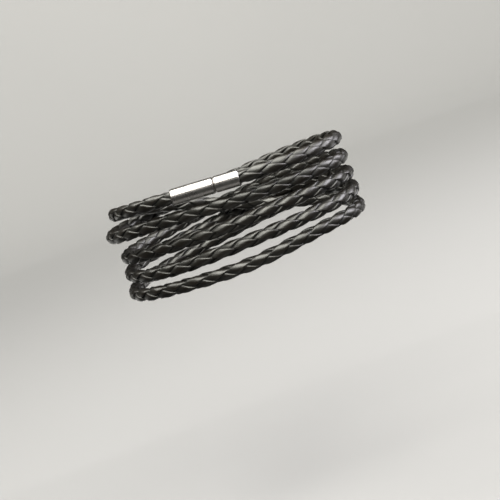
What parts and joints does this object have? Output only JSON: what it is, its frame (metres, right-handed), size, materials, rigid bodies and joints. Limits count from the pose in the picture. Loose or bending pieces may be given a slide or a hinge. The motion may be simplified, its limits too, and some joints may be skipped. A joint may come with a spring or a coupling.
{
  "type": "leather bracelet",
  "caption": "Wrap bracelet of round braided leather cord, wound round the wrist in laps and closed by a straight steel barrel clasp.",
  "frame": {"origin": "middle of the wrist that the bracelet goes round, at the height of the middle lap", "axes": "+Z along the wrist towards the elbow, -Y towards the front where the clasp is, +X to the right seen from the front, along the wrist's width"},
  "size_m": [0.0788, 0.0637, 0.0301],
  "materials": {
    "leather": "satin, dyed through, braided",
    "steel": "polished"
  },
  "bodies": {
    "root": {"cord": "leather", "clasp_socket": "steel", "clasp_plug": "steel"}
  },
  "joints": []
}
